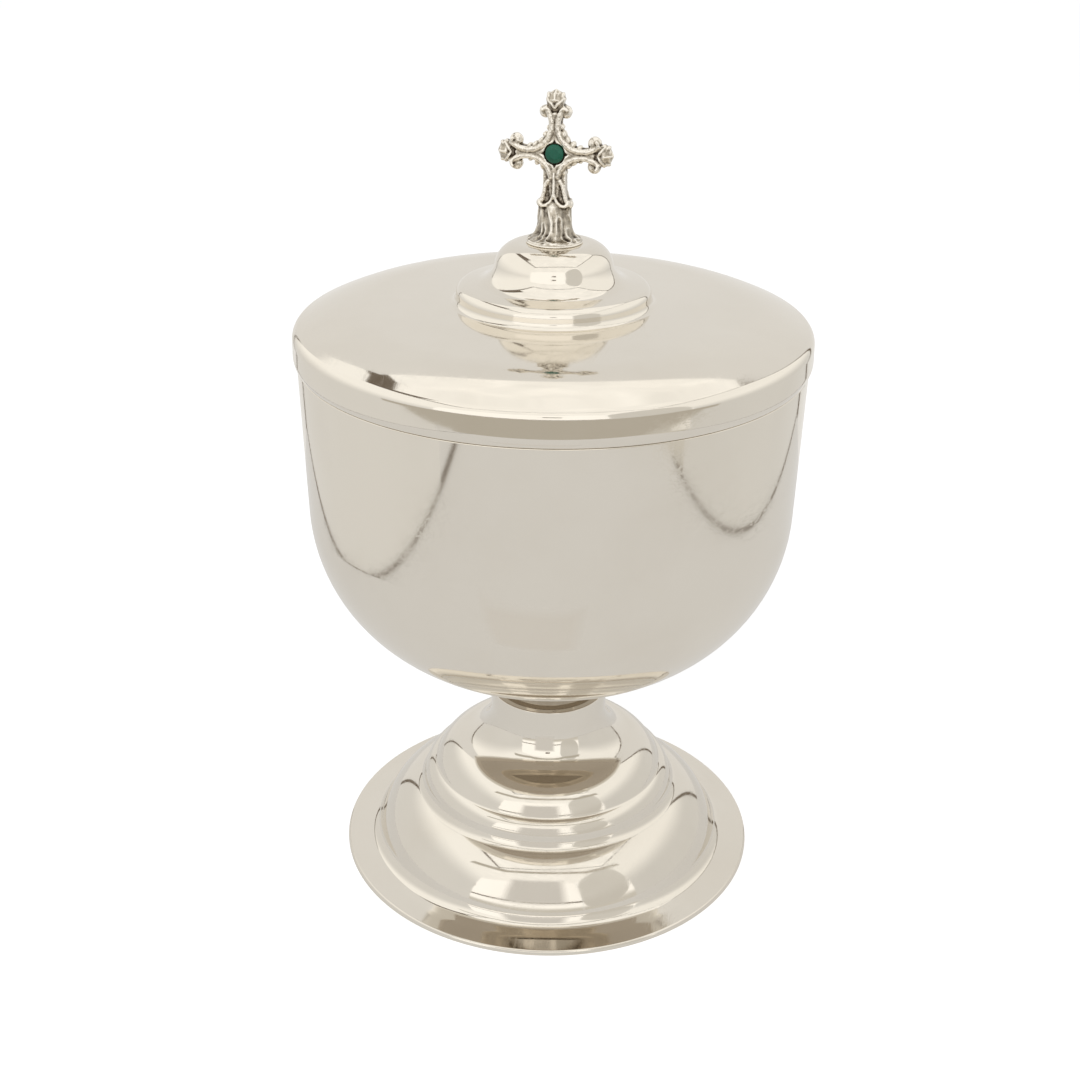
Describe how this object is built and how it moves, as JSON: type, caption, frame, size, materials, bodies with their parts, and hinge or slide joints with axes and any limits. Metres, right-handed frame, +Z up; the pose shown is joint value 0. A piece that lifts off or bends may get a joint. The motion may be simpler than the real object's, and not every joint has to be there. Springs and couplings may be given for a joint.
{
  "type": "ciborium",
  "caption": "Lidded ciborium: polished spun bowl on a stepped round foot, with a lift-off lid, domed knob and cast trefoil cross set with a green stone.",
  "frame": {"origin": "centre of the foot's rim on the surface that it stands on", "axes": "+Z up along the common axis of foot, bowl and lid; the arms of the cross lie along X and its stone faces -Y"},
  "size_m": [0.1054, 0.1054, 0.17],
  "materials": {
    "polished_plate": "mirror-polished warm white plate with fine handling scratches",
    "gilt_and_plate": "mirror-polished warm white plate outside, gilt inside",
    "dark_plate": "turned and polished plate",
    "cast_plate": "cast and bright-plated, darker in its hollows",
    "green_stone": "polished green cabochon",
    "bare_brass": "turned brass, slightly dulled",
    "zinc_steel": "plated steel"
  },
  "bodies": {
    "vessel": {"foot": "polished_plate", "stem_collar": "dark_plate", "bowl": "gilt_and_plate", "bowl_stud": "bare_brass", "foot_washer": "zinc_steel", "foot_nut": "bare_brass"},
    "lid_assembly": {"lid": "polished_plate", "lid_guide_ring": "polished_plate", "cross": "cast_plate", "cross_stone": "green_stone", "cross_screw": "zinc_steel", "lid_washer": "zinc_steel"}
  },
  "joints": [
    {"name": "lid_lift", "type": "slide", "parent": "vessel", "child": "lid_assembly", "axis": [0, 0, 1], "range_m": [0, 0.06]}
  ]
}
